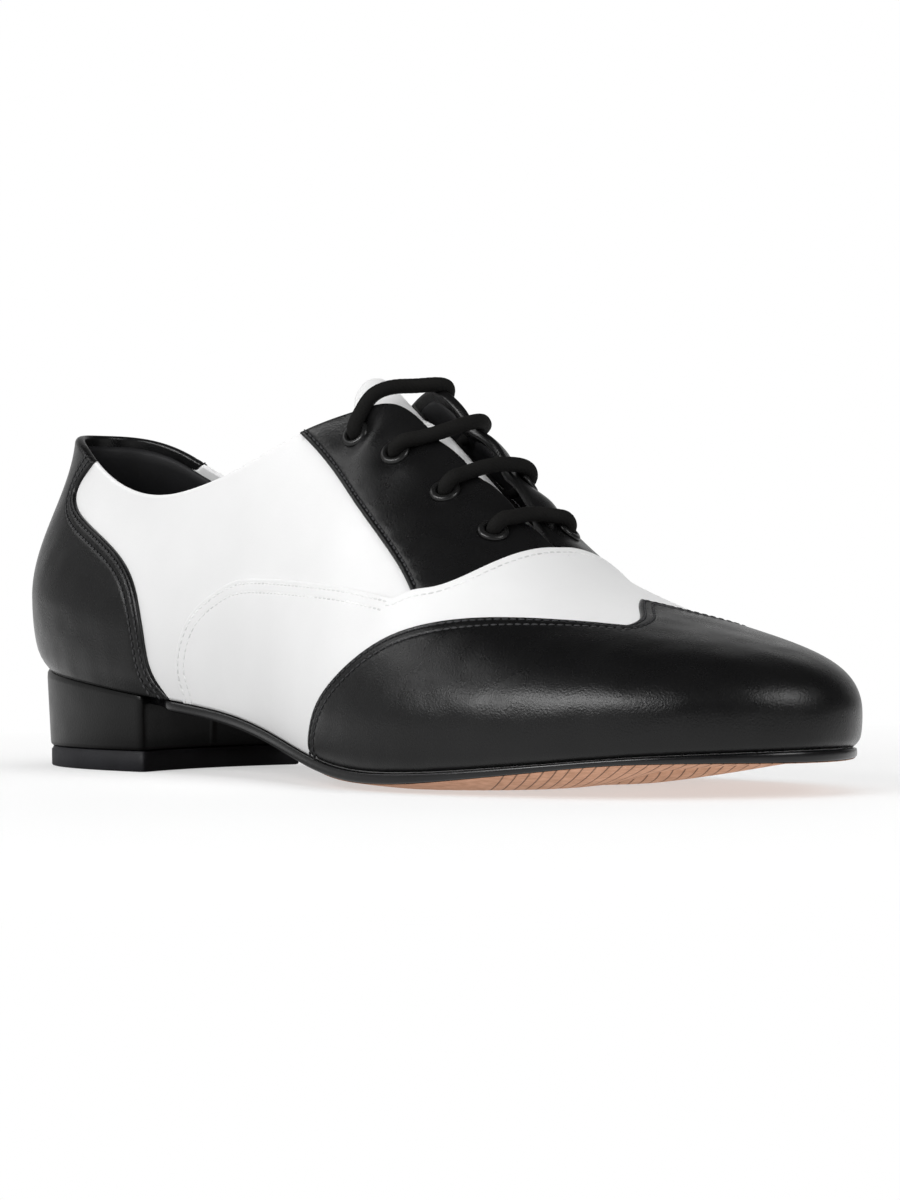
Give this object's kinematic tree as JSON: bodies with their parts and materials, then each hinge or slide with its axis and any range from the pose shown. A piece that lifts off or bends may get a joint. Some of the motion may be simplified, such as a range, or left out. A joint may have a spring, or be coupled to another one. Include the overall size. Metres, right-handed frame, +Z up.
{
  "type": "dance shoe",
  "caption": "Right-foot lace-up dance shoe: hollow white leather upper with black wing tip, heel counter and facings on a thin suede sole with a low covered heel.",
  "frame": {"origin": "on the floor, under the middle of the shoe's bounding box", "axes": "+X towards the toe, +Y towards the inner side of this right shoe, +Z up"},
  "size_m": [0.3058, 0.0996, 0.1085],
  "materials": {
    "white_leather": "smooth white leather, low sheen",
    "black_leather": "smooth black leather, soft gloss",
    "dark_lining": "matt black lining leather",
    "sole_edge": "black painted sole edge",
    "tan_suede": "tan suede with fine diagonal grooves",
    "heel_cover": "black covered heel, satin",
    "lift_rubber": "matt black rubber",
    "eyelet_metal": "black enamelled metal",
    "lace_cord": "round braided black cord"
  },
  "bodies": {
    "root": {"upper": "white_leather", "wing_tip": "black_leather", "heel_counter": "black_leather", "facing_lateral": "black_leather", "facing_medial": "black_leather", "tongue": "white_leather", "insole": "dark_lining", "outsole": "sole_edge", "suede_tread": "tan_suede", "heel_block": "heel_cover", "heel_lift": "lift_rubber", "eyelet_lateral_1": "eyelet_metal", "eyelet_lateral_2": "eyelet_metal", "eyelet_lateral_3": "eyelet_metal", "eyelet_lateral_4": "eyelet_metal", "eyelet_medial_1": "eyelet_metal", "eyelet_medial_2": "eyelet_metal", "eyelet_medial_3": "eyelet_metal", "eyelet_medial_4": "eyelet_metal", "lace_bar_1": "lace_cord", "lace_bar_2": "lace_cord", "lace_bar_3": "lace_cord", "lace_bar_4": "lace_cord"}
  },
  "joints": []
}
